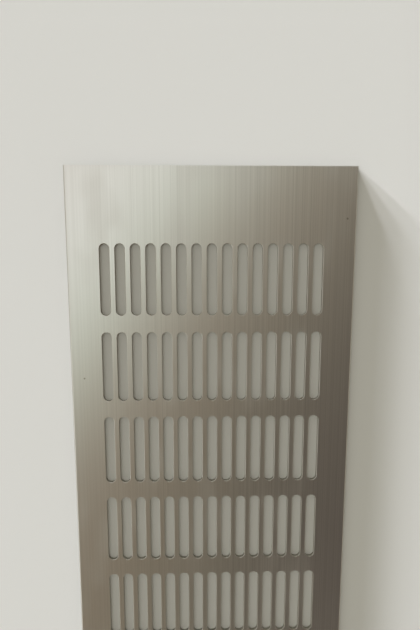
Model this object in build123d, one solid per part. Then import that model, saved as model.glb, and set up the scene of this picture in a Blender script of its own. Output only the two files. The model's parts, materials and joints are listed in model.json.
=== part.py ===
"""Slotted aluminium ventilation strip: one flat piece with rows of lengthwise, round-ended slots.

The strip lies flat. X runs along its length, Y across it and Z up through its thickness.
The origin is on the underside, in the middle of the strip. All sizes are in millimetres.
"""

from build123d import *
import os

# The strip as it is cut from the coil.
LENGTH = 480.0
WIDTH = 100.0
THICKNESS = 1.2
EDGE_FLAT = 0.4  # upright, on each long edge, between the two roundings. The cut ends are square.

# One punched slot, which lies along the strip and has half-round ends.
SLOT_LENGTH = 25.0
SLOT_WIDTH = 3.5

# The metal that is left between two slots.
BAR_WIDTH = 1.8  # side by side
BRIDGE_LENGTH = 6.0  # end to end

# The plain borders. Rows and columns fill the rest, and share out what they leave over.
LEAST_END_BORDER = 25.0
LEAST_SIDE_BORDER = 11.0

# The strip is screwed down through these slots of its two end rows, which have true round ends.
# In the many other slots each half round is made of flats that stay within 0.06 mm of it.
SCREW_COLUMNS = (0, 2, 4)  # counted in from each side
FLATS_PER_END = 6


def count_in(room: float, size: float, gap: float) -> int:
    """How many things of one size fit into the room, with a gap from each to the next."""
    return int((room + gap) // (size + gap))


def rolled_strip() -> Part:
    """The strip before punching: its cross-section with rounded corners, run along X."""
    corner_radius = (THICKNESS - EDGE_FLAT) / 2
    section = Plane.YZ * Pos(Y=THICKNESS / 2) * RectangleRounded(WIDTH, THICKNESS, corner_radius)
    return extrude(section, LENGTH / 2, both=True)


def flatted_slot() -> Sketch:
    """A slot whose half rounds are made of flats, with every corner on the true round."""
    end_radius = SLOT_WIDTH / 2
    end_centre = Vector(SLOT_LENGTH / 2 - end_radius, 0)
    one_end = [
        end_centre + Vector(0, -end_radius).rotate(Axis.Z, 180 * corner / FLATS_PER_END)
        for corner in range(FLATS_PER_END + 1)
    ]
    other_end = [-corner for corner in one_end]
    return make_face(Polyline(*one_end, *other_end, close=True))


def punch(outline: Sketch) -> Part:
    """A punch of this outline, which reaches past both faces of the strip."""
    return Pos(Z=THICKNESS / 2) * extrude(outline, THICKNESS, both=True)


def takes_screw(row: int, column: int, rows: int, columns: int) -> bool:
    """Whether a screw goes through the slot in this row and column."""
    in_end_row = row in (0, rows - 1)
    return in_end_row and min(column, columns - 1 - column) in SCREW_COLUMNS


def punches() -> list[Part]:
    """One punch for each slot, on a straight grid in the middle of the strip."""
    rows = count_in(LENGTH - 2 * LEAST_END_BORDER, SLOT_LENGTH, BRIDGE_LENGTH)
    columns = count_in(WIDTH - 2 * LEAST_SIDE_BORDER, SLOT_WIDTH, BAR_WIDTH)
    grid = GridLocations(SLOT_LENGTH + BRIDGE_LENGTH, SLOT_WIDTH + BAR_WIDTH, rows, columns)
    round_punch = punch(SlotOverall(SLOT_LENGTH, SLOT_WIDTH))
    flatted_punch = punch(flatted_slot())
    placed = []
    for number, place in enumerate(grid):
        row, column = divmod(number, columns)
        is_round = takes_screw(row, column, rows, columns)
        placed.append(place * (round_punch if is_round else flatted_punch))
    return placed


def slotted_sheet() -> Part:
    """The finished strip, with every slot punched through it."""
    return rolled_strip() - punches()


os.makedirs("parts", exist_ok=True)
export_step(slotted_sheet(), "parts/slotted_sheet.step")
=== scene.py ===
"""Looks of the slotted aluminium ventilation strip: its finished mesh, its metal, and the studio round it.

Everything is in metres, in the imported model's own frame. X runs along the strip, Y across it and Z up,
and the origin is on the underside, in the middle.
"""

import json
import logging
import math
from dataclasses import dataclass, field
from enum import Enum
from typing import Any

import bpy
from mathutils import Matrix, Vector


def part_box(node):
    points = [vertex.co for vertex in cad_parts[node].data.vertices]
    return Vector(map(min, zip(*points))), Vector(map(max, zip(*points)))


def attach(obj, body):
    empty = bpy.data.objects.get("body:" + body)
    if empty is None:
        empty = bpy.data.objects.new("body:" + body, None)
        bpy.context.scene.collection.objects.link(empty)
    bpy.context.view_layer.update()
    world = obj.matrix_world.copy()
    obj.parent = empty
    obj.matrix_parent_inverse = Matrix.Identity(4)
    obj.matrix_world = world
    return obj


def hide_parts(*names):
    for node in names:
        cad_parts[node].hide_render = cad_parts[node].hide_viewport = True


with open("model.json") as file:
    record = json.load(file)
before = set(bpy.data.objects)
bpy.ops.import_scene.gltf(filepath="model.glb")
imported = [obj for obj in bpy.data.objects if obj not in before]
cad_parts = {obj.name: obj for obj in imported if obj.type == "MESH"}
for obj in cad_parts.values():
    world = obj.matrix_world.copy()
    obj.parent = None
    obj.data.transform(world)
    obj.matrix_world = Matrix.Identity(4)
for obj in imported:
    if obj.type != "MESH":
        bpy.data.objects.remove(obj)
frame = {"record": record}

MM = 0.001
BODY = "root"
CAD_NODE = "slotted_sheet"

log = logging.getLogger(CAD_NODE)


class Face(Enum):
    """The two broad faces of the strip."""

    TOP = "top"
    UNDERSIDE = "underside"


def linear(hex_colour: str) -> tuple[float, float, float, float]:
    """Turns an sRGB hex colour into linear light.

    Args:
        hex_colour: The colour as "#rrggbb".

    Returns:
        Red, green, blue and an alpha of 1.
    """
    channels = (int(hex_colour[start : start + 2], 16) / 255 for start in (1, 3, 5))
    red, green, blue = (c / 12.92 if c <= 0.04045 else ((c + 0.055) / 1.055) ** 2.4 for c in channels)
    return red, green, blue, 1.0


def add_node(
    tree: bpy.types.NodeTree,
    kind: str,
    inputs: dict[str | int, Any] | None = None,
    **options: Any,
) -> bpy.types.Node:
    """Adds a node to a tree, with its options, its values and its links.

    Args:
        tree: The tree that gets the node.
        kind: The node's type.
        inputs: What goes into each named or numbered input: a value, a socket to link from, or a list
            of sockets for an input that takes several.
        **options: The node's own options.

    Returns:
        The new node.
    """
    node = tree.nodes.new(kind)
    for name, value in options.items():
        setattr(node, name, value)
    for name, value in (inputs or {}).items():
        for source in value if isinstance(value, list) else [value]:
            if isinstance(source, bpy.types.NodeSocket):
                tree.links.new(source, node.inputs[name])
            else:
                node.inputs[name].default_value = source
    return node


@dataclass(frozen=True)
class Streaks:
    """One noise, stretched along the strip, for lengthwise lines, zones or smudges on rolled metal."""

    across_mm: float
    along_mm: float
    seed: float
    detail: float = 2.0

    def add(self, tree: bpy.types.NodeTree, place: bpy.types.NodeSocket) -> bpy.types.NodeSocket:
        """Adds the noise to a material.

        Args:
            tree: The material's tree.
            place: Object coordinates, in metres.

        Returns:
            A value from 0 to 1, about 0.5 on average.
        """
        scale = (1 / (self.along_mm * MM), 1 / (self.across_mm * MM), 1 / (self.across_mm * MM))
        stretched = add_node(
            tree,
            "ShaderNodeMapping",
            {"Vector": place, "Location": (self.seed, self.seed, 0), "Scale": scale},
        ).outputs[0]
        return add_node(
            tree, "ShaderNodeTexNoise", {"Vector": stretched, "Scale": 1.0, "Detail": self.detail}
        ).outputs[0]


@dataclass(frozen=True)
class MillAluminium:
    """Mill-finish aluminium, as it leaves the cold rolls, with its cut edges left bare.

    The rolls print their own grinding lines on the sheet, so it shows fine lines along its length, which
    are stronger in some zones across it, and it mirrors the room as a soft blur. The real lines are
    finer, and are drawn coarse enough to show. The metal itself is a pale, slightly warm grey. Where it
    was sheared, punched or sawn it is duller, because the torn grain scatters the light. Every face that
    turns sideways, the slots' walls and the roundings of the edges among them, also gets a darker colour:
    partly the duller torn grain, and partly painted shade that darkens the slots and damps the
    highlights on the edges.
    """

    name: str = "mill_finish_aluminium"
    dull_hex: str = "#cbc8c1"
    bright_hex: str = "#e6e3dd"
    # darker than the rolled metal: partly the duller torn grain, partly painted shade on the slots' walls
    # and the edge roundings
    cut_and_shade_hex: str = "#b3b0a7"
    roughness: float = 0.31
    roughness_swing: float = 0.02  # more or less, between one fine line and the next
    smudge_roughness: float = 0.05  # more, where hands have left a smudge
    cut_roughness: float = 0.42
    rolled_above: float = 0.95  # how far up the surface must face to keep the rolled finish, with none of the cut finish and its painted shade
    # below this, a face has all of the cut finish and its painted shade
    cut_and_shade_below: float = 0.65
    fine_lines: Streaks = Streaks(across_mm=0.34, along_mm=700.0, seed=3.1)
    broad_lines: Streaks = Streaks(across_mm=1.1, along_mm=900.0, seed=7.7)
    ground_zones: Streaks = Streaks(across_mm=40.0, along_mm=1500.0, seed=2.32)
    smudges: Streaks = Streaks(across_mm=17.0, along_mm=26.0, seed=5.2)
    middle: float = 0.5  # of each noise
    broad_share: float = 0.4  # of the lines, the rest being fine
    line_range: tuple[float, float] = (0.3, 0.7)  # of the fine noise, from the dullest line to the brightest
    zone_range: tuple[float, float] = (0.25, 0.6)  # of the zones' noise, from weak lines to strong ones
    zone_strength: tuple[float, float] = (0.5, 2.6)
    smudge_range: tuple[float, float] = (0.5, 0.7)  # of the smudges' noise, from none to full
    line_depth_mm: float = 0.02
    bump_strength: float = 0.12
    specks_mm: tuple[tuple[float, float], ...] = ((222.5, -46.8), (166.4, 45.4))  # where dirt has dried on
    speck_height_mm: float = 1.2  # up on the top face
    speck_radius_mm: float = 0.45
    speck_core_mm: float = 0.2
    speck_hex: str = "#aaa59a"

    def build(self) -> bpy.types.Material:
        """Makes the material.

        Returns:
            The material, with its nodes.
        """
        material = bpy.data.materials.new(self.name)
        material.use_nodes = True
        tree = material.node_tree
        tree.nodes.clear()
        where = add_node(tree, "ShaderNodeTexCoord").outputs
        fine, broad, zones, smudges = (
            lines.add(tree, where["Object"])
            for lines in (self.fine_lines, self.broad_lines, self.ground_zones, self.smudges)
        )
        lines = add_node(
            tree, "ShaderNodeMix", {"Factor": self.broad_share, "A": fine, "B": broad}
        ).outputs["Result"]
        centred = add_node(
            tree, "ShaderNodeMath", {0: lines, 1: self.middle}, operation="SUBTRACT"
        ).outputs[0]
        strength = add_node(
            tree,
            "ShaderNodeMapRange",
            {
                "Value": zones,
                "From Min": self.zone_range[0],
                "From Max": self.zone_range[1],
                "To Min": self.zone_strength[0],
                "To Max": self.zone_strength[1],
            },
        ).outputs[0]
        tone = add_node(
            tree, "ShaderNodeMath", {0: centred, 1: strength, 2: self.middle}, operation="MULTIPLY_ADD"
        ).outputs[0]
        rolled = add_node(
            tree,
            "ShaderNodeMix",
            {"Factor": tone, "A": linear(self.dull_hex), "B": linear(self.bright_hex)},
            data_type="RGBA",
        ).outputs["Result"]
        lined_roughness = add_node(
            tree,
            "ShaderNodeMapRange",
            {
                "Value": fine,
                "From Min": self.line_range[0],
                "From Max": self.line_range[1],
                "To Min": self.roughness + self.roughness_swing,
                "To Max": self.roughness - self.roughness_swing,
            },
        ).outputs[0]
        rolled_roughness = add_node(
            tree,
            "ShaderNodeMapRange",
            {
                "Value": smudges,
                "From Min": self.smudge_range[0],
                "From Max": self.smudge_range[1],
                "To Min": lined_roughness,
                "To Max": self.roughness + self.smudge_roughness,
            },
            interpolation_type="SMOOTHSTEP",
        ).outputs[0]
        facing = add_node(tree, "ShaderNodeSeparateXYZ", {0: where["Normal"]}).outputs["Z"]
        level = add_node(tree, "ShaderNodeMath", {0: facing}, operation="ABSOLUTE").outputs[0]
        # Faces that turn sideways get the cut finish: rougher, and darker in colour, which is partly torn
        # grain and partly painted shade in the slots and on the edge roundings.
        cut_and_shade = add_node(
            tree,
            "ShaderNodeMapRange",
            {"Value": level, "From Min": self.rolled_above, "From Max": self.cut_and_shade_below},
            interpolation_type="SMOOTHSTEP",
        ).outputs[0]
        # painted shade: the darker cut colour on the slots' walls and the edge roundings
        clean = add_node(
            tree, "ShaderNodeMix", {"Factor": cut_and_shade, "A": rolled, "B": linear(self.cut_and_shade_hex)}, data_type="RGBA"
        ).outputs["Result"]
        colour = add_node(
            tree,
            "ShaderNodeMix",
            {"Factor": self.add_specks(tree, where["Object"]), "A": clean, "B": linear(self.speck_hex)},
            data_type="RGBA",
        ).outputs["Result"]
        roughness = add_node(
            tree, "ShaderNodeMix", {"Factor": cut_and_shade, "A": rolled_roughness, "B": self.cut_roughness}
        ).outputs[0]
        bump = add_node(
            tree,
            "ShaderNodeBump",
            {"Height": fine, "Strength": self.bump_strength, "Distance": self.line_depth_mm * MM},
        )
        shader = add_node(
            tree,
            "ShaderNodeBsdfPrincipled",
            {"Metallic": 1.0, "Base Color": colour, "Roughness": roughness, "Normal": bump.outputs[0]},
        )
        add_node(tree, "ShaderNodeOutputMaterial", {"Surface": shader.outputs[0]})
        return material

    def add_specks(self, tree: bpy.types.NodeTree, place: bpy.types.NodeSocket) -> bpy.types.NodeSocket:
        """Marks the specks of dirt.

        Args:
            tree: The material's tree.
            place: Object coordinates, in metres.

        Returns:
            1 in the middle of a speck, 0 away from all of them.
        """
        marked: bpy.types.NodeSocket | float = 0.0
        for along, across in self.specks_mm:
            centre = (along * MM, across * MM, self.speck_height_mm * MM)
            away = add_node(tree, "ShaderNodeVectorMath", {0: place, 1: centre}, operation="DISTANCE")
            speck = add_node(
                tree,
                "ShaderNodeMapRange",
                {
                    "Value": away.outputs["Value"],
                    "From Min": self.speck_radius_mm * MM,
                    "From Max": self.speck_core_mm * MM,
                },
                interpolation_type="SMOOTHSTEP",
            ).outputs[0]
            marked = add_node(tree, "ShaderNodeMath", {0: speck, 1: marked}, operation="MAXIMUM").outputs[0]
        return marked


@dataclass(frozen=True)
class FloorPaint:
    """Matt emulsion paint in a pale, warm white, which scatters light evenly and has no shine."""

    name: str = "pale_matt_paint"
    paint_hex: str = "#d8d8d2"
    roughness: float = 0.9

    def build(self) -> bpy.types.Material:
        """Makes the material.

        Returns:
            The material, with its nodes.
        """
        material = bpy.data.materials.new(self.name)
        material.use_nodes = True
        tree = material.node_tree
        tree.nodes.clear()
        shader = add_node(
            tree,
            "ShaderNodeBsdfPrincipled",
            {"Base Color": linear(self.paint_hex), "Roughness": self.roughness, "Specular IOR Level": 0.1},
        )
        add_node(tree, "ShaderNodeOutputMaterial", {"Surface": shader.outputs[0]})
        return material


@dataclass
class SlottedSheet:
    """The strip itself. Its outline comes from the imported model, and its slots repeat on a grid.

    Lengths are in millimetres.
    """

    length: float
    width: float
    thickness: float
    slot_length: float
    slot_width: float
    rows: int
    columns: int
    row_pitch: float
    column_pitch: float
    edge_flat: float = 0.4  # upright, on each long edge, between its two roundings
    rim_radius: float = 0.12  # the punch rolls the top rim of each slot over by this much
    burr_break: float = 0.08  # and leaves a small slanted break at the bottom
    weld: float = 0.002  # points nearer than this are one point
    end_segments: int = 5  # in a quarter round of a slot's end
    rim_segments: int = 3
    edge_segments: int = 4
    level_above: float = 0.9999  # how far up a face must look to be one of the two broad ones
    end_above: float = 0.5  # how far along the strip a face must look to be at a cut end
    finish: MillAluminium = field(default_factory=MillAluminium)
    name: str = "slotted_sheet_finished"
    slot: str = "mill_aluminium"

    @classmethod
    def from_frame(cls, bar_width: float, bridge_length: float) -> "SlottedSheet":
        """Reads the strip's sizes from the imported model.

        Args:
            bar_width: The metal between two slots side by side.
            bridge_length: The metal between two slots end to end.

        Returns:
            The strip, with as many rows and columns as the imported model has.
        """
        low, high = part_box(CAD_NODE)
        length, width, thickness = (high - low) / MM
        mounts = {mount["name"]: mount["dims"] for mount in frame["record"]["mounts"]}
        corners = mounts["outer_screw_slots"]
        slot_length, slot_width = corners["slot_length_mm"], 2 * corners["hole_r_mm"]
        row_pitch, column_pitch = slot_length + bridge_length, slot_width + bar_width
        return cls(
            length=length,
            width=width,
            thickness=thickness,
            slot_length=slot_length,
            slot_width=slot_width,
            rows=round(corners["spacing_x_mm"] / row_pitch) + 1,
            columns=round(corners["spacing_y_mm"] / column_pitch) + 1,
            row_pitch=row_pitch,
            column_pitch=column_pitch,
        )

    def sizes(self) -> dict[str, float | int]:
        """The named inputs of the node tree, with lengths in metres."""
        edge_radius = (self.thickness - self.edge_flat) / 2
        return {
            "Length": self.length * MM,
            "Width": self.width * MM,
            "Thickness": self.thickness * MM,
            "Edge Radius": edge_radius * MM,
            "Edge Segments": self.edge_segments,
            "Slot Length": self.slot_length * MM,
            "Slot Width": self.slot_width * MM,
            "Row Pitch": self.row_pitch * MM,
            "Column Pitch": self.column_pitch * MM,
            "Rows": self.rows,
            "Columns": self.columns,
            "End Segments": self.end_segments,
            "Rim Radius": self.rim_radius * MM,
            "Rim Segments": self.rim_segments,
            "Burr Break": self.burr_break * MM,
            "Weld": self.weld * MM,
        }

    def build_tree(self, material: bpy.types.Material) -> bpy.types.GeometryNodeTree:
        """Builds the node tree that makes the strip: its outside, its slots and its two broad faces.

        Args:
            material: What the strip is made of.

        Returns:
            The tree, whose inputs are named as in sizes().
        """
        tree = bpy.data.node_groups.new("slotted_sheet_maker", "GeometryNodeTree")
        for name, value in self.sizes().items():
            kind = "NodeSocketInt" if isinstance(value, int) else "NodeSocketFloat"
            tree.interface.new_socket(name, in_out="INPUT", socket_type=kind)
        tree.interface.new_socket("Geometry", in_out="OUTPUT", socket_type="NodeSocketGeometry")
        given = add_node(tree, "NodeGroupInput").outputs
        outside = self.add_outside(tree, given)
        walls = self.add_grid(tree, given, self.add_slot(tree, given))
        faces = [self.add_face(tree, given, walls, face) for face in Face]
        joined = add_node(tree, "GeometryNodeJoinGeometry", {"Geometry": [outside, walls, *faces]})
        welded = add_node(
            tree, "GeometryNodeMergeByDistance", {"Geometry": joined.outputs[0], "Distance": given["Weld"]}
        )
        real = add_node(tree, "GeometryNodeRealizeInstances", {"Geometry": welded.outputs[0]})
        dressed = add_node(
            tree, "GeometryNodeSetMaterial", {"Geometry": real.outputs[0], "Material": material}
        )
        add_node(tree, "NodeGroupOutput", {"Geometry": dressed.outputs[0]})
        return tree

    def add_outside(
        self, tree: bpy.types.NodeTree, given: bpy.types.NodeOutputs
    ) -> bpy.types.NodeSocket:
        """Adds the two long edges, which are rounded, and the two cut ends, which are flat.

        Args:
            tree: The tree that gets the nodes.
            given: The tree's named inputs.

        Returns:
            An open tube along X, with both ends closed and both broad faces missing.
        """
        half = add_node(
            tree, "ShaderNodeMath", {0: given["Length"], 1: 0.5}, operation="MULTIPLY"
        ).outputs[0]
        minus_half = add_node(tree, "ShaderNodeMath", {0: half, 1: -1.0}, operation="MULTIPLY").outputs[0]
        start = add_node(tree, "ShaderNodeCombineXYZ", {"X": minus_half}).outputs[0]
        end = add_node(tree, "ShaderNodeCombineXYZ", {"X": half}).outputs[0]
        run = add_node(tree, "GeometryNodeCurvePrimitiveLine", {"Start": start, "End": end}).outputs[0]
        level = add_node(tree, "GeometryNodeSetCurveNormal", {"Curve": run}, mode="Z_UP").outputs[0]
        box = add_node(
            tree,
            "GeometryNodeCurvePrimitiveQuadrilateral",
            {"Width": given["Width"], "Height": given["Thickness"]},
        ).outputs[0]
        section = add_node(
            tree,
            "GeometryNodeFilletCurve",
            {"Curve": box, "Count": given["Edge Segments"], "Radius": given["Edge Radius"]},
            mode="POLY",
        ).outputs[0]
        tube = add_node(
            tree, "GeometryNodeCurveToMesh", {"Curve": level, "Profile Curve": section, "Fill Caps": True}
        ).outputs[0]
        rise = add_node(
            tree, "ShaderNodeMath", {0: given["Thickness"], 1: 0.5}, operation="MULTIPLY"
        ).outputs[0]
        lift = add_node(tree, "ShaderNodeCombineXYZ", {"Z": rise}).outputs[0]
        seated = add_node(tree, "GeometryNodeTransform", {"Geometry": tube, "Translation": lift}).outputs[0]
        normal = add_node(tree, "GeometryNodeInputNormal").outputs["True Normal"]
        facing = add_node(tree, "ShaderNodeSeparateXYZ", {0: normal}).outputs
        upright = add_node(tree, "ShaderNodeMath", {0: facing["Z"]}, operation="ABSOLUTE").outputs[0]
        broad = add_node(
            tree, "FunctionNodeCompare", {0: upright, 1: self.level_above}, operation="GREATER_THAN"
        ).outputs[0]
        open_tube = add_node(
            tree, "GeometryNodeDeleteGeometry", {"Geometry": seated, "Selection": broad}, domain="FACE"
        ).outputs[0]
        endways = add_node(tree, "ShaderNodeMath", {0: facing["X"]}, operation="ABSOLUTE").outputs[0]
        rounded = add_node(
            tree, "FunctionNodeCompare", {0: endways, 1: self.end_above}, operation="LESS_THAN"
        ).outputs[0]
        return add_node(
            tree, "GeometryNodeSetShadeSmooth", {"Geometry": open_tube, "Shade Smooth": rounded}
        ).outputs[0]

    def add_slot(
        self, tree: bpy.types.NodeTree, given: bpy.types.NodeOutputs
    ) -> bpy.types.NodeSocket:
        """Adds one slot: its rolled-over rim, its upright wall and the slanted break at the bottom.

        Args:
            tree: The tree that gets the nodes.
            given: The tree's named inputs.

        Returns:
            The slot's mesh, with the middle of the slot above the origin.
        """
        box = add_node(
            tree,
            "GeometryNodeCurvePrimitiveQuadrilateral",
            {"Width": given["Slot Length"], "Height": given["Slot Width"]},
        ).outputs[0]
        end_radius = add_node(tree, "ShaderNodeMath", {0: given["Slot Width"], 1: 0.5}, operation="MULTIPLY")
        rounded = add_node(
            tree,
            "GeometryNodeFilletCurve",
            {
                "Curve": box,
                "Count": given["End Segments"],
                "Radius": end_radius.outputs[0],
                "Limit Radius": True,
            },
            mode="POLY",
        ).outputs[0]
        wire = add_node(tree, "GeometryNodeCurveToMesh", {"Curve": rounded}).outputs[0]
        clean = add_node(
            tree, "GeometryNodeMergeByDistance", {"Geometry": wire, "Distance": given["Weld"]}
        ).outputs[0]
        outline = add_node(tree, "GeometryNodeMeshToCurve", {"Mesh": clean}).outputs[0]
        level = add_node(tree, "GeometryNodeSetCurveNormal", {"Curve": outline}, mode="Z_UP").outputs[0]
        section = self.add_slot_section(tree, given)
        ring = add_node(
            tree, "GeometryNodeCurveToMesh", {"Curve": level, "Profile Curve": section}
        ).outputs[0]
        lift = add_node(tree, "ShaderNodeCombineXYZ", {"Z": given["Thickness"]}).outputs[0]
        seated = add_node(tree, "GeometryNodeTransform", {"Geometry": ring, "Translation": lift}).outputs[0]
        return add_node(tree, "GeometryNodeSetShadeSmooth", {"Geometry": seated}).outputs[0]

    def add_slot_section(
        self, tree: bpy.types.NodeTree, given: bpy.types.NodeOutputs
    ) -> bpy.types.NodeSocket:
        """Adds the line that is swept round a slot, from the underside up to its top rim.

        Args:
            tree: The tree that gets the nodes.
            given: The tree's named inputs.

        Returns:
            A curve in three pieces that meet, with X away from the slot and Y down.
        """
        quarter = math.pi / 2
        points = add_node(
            tree, "ShaderNodeMath", {0: given["Rim Segments"], 1: 1.0}, operation="ADD"
        ).outputs[0]
        arc = add_node(
            tree,
            "GeometryNodeCurveArc",
            {
                "Resolution": points,
                "Radius": given["Rim Radius"],
                "Start Angle": 2 * quarter,
                "Sweep Angle": quarter,
            },
        ).outputs[0]
        arc_centre = add_node(
            tree, "ShaderNodeCombineXYZ", {"X": given["Rim Radius"], "Y": given["Rim Radius"]}
        )
        rim = add_node(
            tree, "GeometryNodeTransform", {"Geometry": arc, "Translation": arc_centre.outputs[0]}
        ).outputs[0]
        foot = add_node(
            tree, "ShaderNodeMath", {0: given["Thickness"], 1: given["Burr Break"]}, operation="SUBTRACT"
        ).outputs[0]
        wall_top = add_node(tree, "ShaderNodeCombineXYZ", {"Y": given["Rim Radius"]}).outputs[0]
        wall_foot = add_node(tree, "ShaderNodeCombineXYZ", {"Y": foot}).outputs[0]
        lowest = add_node(
            tree, "ShaderNodeCombineXYZ", {"X": given["Burr Break"], "Y": given["Thickness"]}
        ).outputs[0]
        wall = add_node(
            tree, "GeometryNodeCurvePrimitiveLine", {"Start": wall_foot, "End": wall_top}
        ).outputs[0]
        slant = add_node(
            tree, "GeometryNodeCurvePrimitiveLine", {"Start": lowest, "End": wall_foot}
        ).outputs[0]
        return add_node(tree, "GeometryNodeJoinGeometry", {"Geometry": [rim, wall, slant]}).outputs[0]

    def add_grid(
        self,
        tree: bpy.types.NodeTree,
        given: bpy.types.NodeOutputs,
        one_slot: bpy.types.NodeSocket,
    ) -> bpy.types.NodeSocket:
        """Repeats the slot on the grid of rows and columns.

        Args:
            tree: The tree that gets the nodes.
            given: The tree's named inputs.
            one_slot: The slot to repeat.

        Returns:
            The walls of all slots, as real mesh.
        """
        reach = {}
        for count, pitch in (("Rows", "Row Pitch"), ("Columns", "Column Pitch")):
            gaps = add_node(
                tree, "ShaderNodeMath", {0: given[count], 1: 1.0}, operation="SUBTRACT"
            ).outputs[0]
            reach[count] = add_node(
                tree, "ShaderNodeMath", {0: gaps, 1: given[pitch]}, operation="MULTIPLY"
            ).outputs[0]
        grid = add_node(
            tree,
            "GeometryNodeMeshGrid",
            {
                "Size X": reach["Rows"],
                "Size Y": reach["Columns"],
                "Vertices X": given["Rows"],
                "Vertices Y": given["Columns"],
            },
        ).outputs[0]
        placed = add_node(
            tree, "GeometryNodeInstanceOnPoints", {"Points": grid, "Instance": one_slot}
        ).outputs[0]
        return add_node(tree, "GeometryNodeRealizeInstances", {"Geometry": placed}).outputs[0]

    def add_face(
        self,
        tree: bpy.types.NodeTree,
        given: bpy.types.NodeOutputs,
        walls: bpy.types.NodeSocket,
        face: Face,
    ) -> bpy.types.NodeSocket:
        """Adds one broad face, with a hole wherever the slots' walls meet it.

        Args:
            tree: The tree that gets the nodes.
            given: The tree's named inputs.
            walls: The walls of all slots.
            face: Which face.

        Returns:
            The flat face, which looks outwards.
        """
        is_top = face is Face.TOP
        position = add_node(tree, "GeometryNodeInputPosition").outputs[0]
        height = add_node(tree, "ShaderNodeSeparateXYZ", {0: position}).outputs["Z"]
        near_top = add_node(
            tree, "ShaderNodeMath", {0: given["Thickness"], 1: given["Weld"]}, operation="SUBTRACT"
        ).outputs[0]
        limit, test = (near_top, "GREATER_THAN") if is_top else (given["Weld"], "LESS_THAN")
        at_face = add_node(tree, "FunctionNodeCompare", {0: height, 1: limit}, operation=test).outputs[0]
        holes = add_node(tree, "GeometryNodeMeshToCurve", {"Mesh": walls, "Selection": at_face}).outputs[0]
        roundings = add_node(tree, "ShaderNodeMath", {0: given["Edge Radius"], 1: 2.0}, operation="MULTIPLY")
        flat_width = add_node(
            tree, "ShaderNodeMath", {0: given["Width"], 1: roundings.outputs[0]}, operation="SUBTRACT"
        ).outputs[0]
        border = add_node(
            tree,
            "GeometryNodeCurvePrimitiveQuadrilateral",
            {"Width": given["Length"], "Height": flat_width},
        ).outputs[0]
        outlines = add_node(tree, "GeometryNodeJoinGeometry", {"Geometry": [border, holes]}).outputs[0]
        filled = add_node(tree, "GeometryNodeFillCurve", {"Curve": outlines}, mode="TRIANGLES").outputs[0]
        flat = add_node(
            tree, "GeometryNodeSetShadeSmooth", {"Geometry": filled, "Shade Smooth": False}
        ).outputs[0]
        if not is_top:
            return add_node(tree, "GeometryNodeFlipFaces", {"Mesh": flat}).outputs[0]
        lift = add_node(tree, "ShaderNodeCombineXYZ", {"Z": given["Thickness"]}).outputs[0]
        return add_node(tree, "GeometryNodeTransform", {"Geometry": flat, "Translation": lift}).outputs[0]

    def build(self) -> bpy.types.Object:
        """Makes the finished strip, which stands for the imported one.

        Returns:
            The piece, as a plain mesh.
        """
        tree = self.build_tree(self.finish.build())
        piece = bpy.data.objects.new(self.name, bpy.data.meshes.new(self.name + "_start"))
        bpy.context.scene.collection.objects.link(piece)
        maker = piece.modifiers.new("maker", "NODES")
        maker.node_group = tree
        sizes = self.sizes()
        for item in tree.interface.items_tree:
            if item.in_out == "INPUT":
                maker[item.identifier] = sizes[item.name]
        evaluated = piece.evaluated_get(bpy.context.evaluated_depsgraph_get())
        mesh = bpy.data.meshes.new_from_object(evaluated)
        mesh.name = self.name
        mesh.materials.pop(index=0)  # joining bare meshes leaves an empty slot in front of the finish
        piece.modifiers.remove(maker)
        piece.data = mesh
        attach(piece, BODY)
        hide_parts(CAD_NODE)
        log.info("%s: %d rows of %d slots, %d faces", self.name, self.rows, self.columns, len(mesh.polygons))
        return piece


@dataclass(frozen=True)
class RoomTone:
    """How bright the room is in one direction, as the strip would mirror it.

    The lean is how far the direction tips towards the window side, as a slope: 0 is straight up, 1 is
    half-way down towards the window, and -1 is half-way down on the dark side.
    """

    lean: float
    shade_hex: str


@dataclass(frozen=True)
class RakingLamp:
    """One broad, far lamp that shines low across the floor, so that a thin sheet still casts a soft shadow.

    It turns from the strip's length towards the window side. Metal mirrors the room and not this lamp.
    """

    name: str
    turn_deg: float
    rise_deg: float = 0.6
    spread_deg: float = 5.4
    power: float = 32.3
    tint_hex: str = "#f3f5ff"

    def build(self) -> bpy.types.Object:
        """Hangs the lamp.

        Returns:
            The lamp.
        """
        light = bpy.data.lights.new(self.name, "SUN")
        light.angle = math.radians(self.spread_deg)
        light.energy = self.power
        light.color = linear(self.tint_hex)[:3]
        lamp = bpy.data.objects.new(self.name, light)
        turn, rise = math.radians(self.turn_deg), math.radians(self.rise_deg)
        way = Vector((math.cos(turn) * math.cos(rise), math.sin(turn) * math.cos(rise), math.sin(rise)))
        lamp.location = way
        lamp.rotation_mode = "QUATERNION"
        lamp.rotation_quaternion = way.to_track_quat("Z", "Y")
        lamp.visible_glossy = False
        bpy.context.scene.collection.objects.link(lamp)
        return lamp


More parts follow.
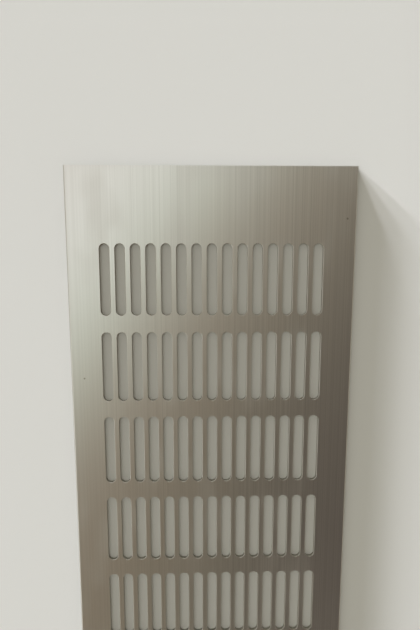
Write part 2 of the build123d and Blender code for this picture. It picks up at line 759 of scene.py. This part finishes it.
@dataclass
class Studio:
    """The pale floor that the strip lies on, the light, and the camera that looks down on the strip.

    The room is a set of tones overhead, which the metal mirrors, above plain walls.
    """

    floor_half: float = 40.0
    lens_mm: float = 27.0
    clip_start: float = 0.01
    eye: Vector = field(default_factory=lambda: Vector((0.2122, 0.0053, 0.1659)))
    looks_at: Vector = field(default_factory=lambda: Vector((0.1891, 0.0007, 0.0012)))
    paint: FloorPaint = field(default_factory=FloorPaint)
    lamps: tuple[RakingLamp, ...] = (
        RakingLamp("raking_lamp_near", turn_deg=50.0),
        RakingLamp("raking_lamp_middle", turn_deg=38.0),
        RakingLamp("raking_lamp_far", turn_deg=26.0),
    )
    room_strength: float = 1.35
    backdrop_hex: str = "#d4d2ca"  # only the camera sees this, where the floor ends
    far_wall_hex: str = "#b2ab9f"
    window_wall_hex: str = "#e8e5dc"
    wall_turn: tuple[float, float] = (-0.3, 0.7)  # how far towards +Y the wall goes from dim to bright
    wall_top: tuple[float, float] = (0.3, 0.6)  # how far up the walls give way to the tones
    lowest_tone: float = 0.2  # a direction lower than this leans as if it were this high
    window_side: tuple[float, float, float] = (0.590, 0.807, 0.0)  # which way the tones lean
    window_bend: tuple[float, float, float] = (0.315, 0.476, 0.0)  # and how that turns along the strip
    tones: tuple[RoomTone, ...] = (
        RoomTone(-1.10, "#8d867a"),
        RoomTone(-0.60, "#4b463d"),
        RoomTone(-0.38, "#392f30"),
        RoomTone(-0.28, "#625f55"),
        RoomTone(-0.20, "#6a604f"),
        RoomTone(-0.12, "#78695a"),
        RoomTone(-0.05, "#736656"),
        RoomTone(0.02, "#907066"),
        RoomTone(0.09, "#d4f6dd"),
        RoomTone(0.16, "#f0efee"),
        RoomTone(0.24, "#f6f9ff"),
        RoomTone(0.36, "#ffffff"),
        RoomTone(0.60, "#a59d8f"),
        RoomTone(1.10, "#867e71"),
    )

    def add_floor(self) -> bpy.types.Object:
        """Lays the floor just under the strip.

        Returns:
            The floor.
        """
        half = self.floor_half
        mesh = bpy.data.meshes.new("floor")
        corners = [(-half, -half, 0), (half, -half, 0), (half, half, 0), (-half, half, 0)]
        mesh.from_pydata(corners, [], [(0, 1, 2, 3)])
        mesh.materials.append(self.paint.build())
        floor = bpy.data.objects.new("floor", mesh)
        bpy.context.scene.collection.objects.link(floor)
        return floor

    def add_room(self) -> bpy.types.World:
        """Surrounds the strip with a plain room, which is bright on the window side and dim on the other.

        Returns:
            The world.
        """
        world = bpy.data.worlds.new("room")
        world.use_nodes = True
        tree = world.node_tree
        tree.nodes.clear()
        way = add_node(tree, "ShaderNodeTexCoord").outputs["Generated"]
        height = add_node(tree, "ShaderNodeSeparateXYZ", {0: way}).outputs["Z"]
        kept = add_node(
            tree, "ShaderNodeMath", {0: height, 1: self.lowest_tone}, operation="MAXIMUM"
        ).outputs[0]
        over = add_node(tree, "ShaderNodeMath", {0: 1.0, 1: kept}, operation="DIVIDE").outputs[0]
        slope = add_node(tree, "ShaderNodeVectorMath", {0: way, "Scale": over}, operation="SCALE").outputs[0]
        endways = add_node(tree, "ShaderNodeSeparateXYZ", {0: slope}).outputs["X"]
        straight, bend = (
            add_node(
                tree, "ShaderNodeVectorMath", {0: slope, 1: side}, operation="DOT_PRODUCT"
            ).outputs["Value"]
            for side in (self.window_side, self.window_bend)
        )
        lean = add_node(
            tree,
            "ShaderNodeMath",
            {0: bend, 1: endways, 2: straight},
            operation="MULTIPLY_ADD",
        ).outputs[0]
        first, last = self.tones[0].lean, self.tones[-1].lean
        place = add_node(
            tree, "ShaderNodeMapRange", {"Value": lean, "From Min": first, "From Max": last}
        ).outputs[0]
        ramp = add_node(tree, "ShaderNodeValToRGB", {"Fac": place})
        stops = ramp.color_ramp.elements
        stops.remove(stops[-1])
        for number, tone in enumerate(self.tones):
            where = (tone.lean - first) / (last - first)
            stop = stops[0] if number == 0 else stops.new(where)
            stop.position = where
            stop.color = linear(tone.shade_hex)
        towards = add_node(tree, "ShaderNodeSeparateXYZ", {0: way}).outputs["Y"]
        lit = add_node(
            tree,
            "ShaderNodeMapRange",
            {"Value": towards, "From Min": self.wall_turn[0], "From Max": self.wall_turn[1]},
            interpolation_type="SMOOTHSTEP",
        ).outputs[0]
        walls = add_node(
            tree,
            "ShaderNodeMix",
            {"Factor": lit, "A": linear(self.far_wall_hex), "B": linear(self.window_wall_hex)},
            data_type="RGBA",
        ).outputs["Result"]
        raised = add_node(
            tree,
            "ShaderNodeMapRange",
            {"Value": height, "From Min": self.wall_top[0], "From Max": self.wall_top[1]},
            interpolation_type="SMOOTHSTEP",
        ).outputs[0]
        around = add_node(
            tree, "ShaderNodeMix", {"Factor": raised, "A": walls, "B": ramp.outputs[0]}, data_type="RGBA"
        ).outputs["Result"]
        light = add_node(
            tree, "ShaderNodeBackground", {"Color": around, "Strength": self.room_strength}
        ).outputs[0]
        plain = add_node(tree, "ShaderNodeBackground", {"Color": linear(self.backdrop_hex)}).outputs[0]
        seen = add_node(tree, "ShaderNodeLightPath").outputs["Is Camera Ray"]
        mixed = add_node(tree, "ShaderNodeMixShader", {0: seen, 1: light, 2: plain}).outputs[0]
        add_node(tree, "ShaderNodeOutputWorld", {"Surface": mixed})
        bpy.context.scene.world = world
        return world

    def add_camera(self) -> bpy.types.Object:
        """Hangs the camera over one end of the strip, with the strip's length upright in its view.

        Returns:
            The camera.
        """
        data = bpy.data.cameras.new("camera")
        data.lens = self.lens_mm
        data.clip_start = self.clip_start
        camera = bpy.data.objects.new("camera", data)
        back = (self.eye - self.looks_at).normalized()
        right = Vector((1, 0, 0)).cross(back).normalized()
        turn = Matrix((right, back.cross(right), back)).transposed()
        camera.location = self.eye
        camera.rotation_mode = "QUATERNION"
        camera.rotation_quaternion = turn.to_quaternion()
        bpy.context.scene.collection.objects.link(camera)
        bpy.context.scene.camera = camera
        return camera

    def build(self) -> None:
        """Adds the floor, the lamp, the room and the camera."""
        self.add_floor()
        for lamp in self.lamps:
            lamp.build()
        self.add_room()
        self.add_camera()
        bpy.context.scene.view_settings.view_transform = "Standard"
        log.info("studio: floor, lamp, room and camera")


def main() -> None:
    """Builds the strip and its studio."""
    logging.basicConfig(level=logging.INFO, format="%(name)s: %(message)s")
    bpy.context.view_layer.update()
    SlottedSheet.from_frame(bar_width=1.8, bridge_length=6.0).build()
    Studio().build()


if __name__ == "__main__":
    main()
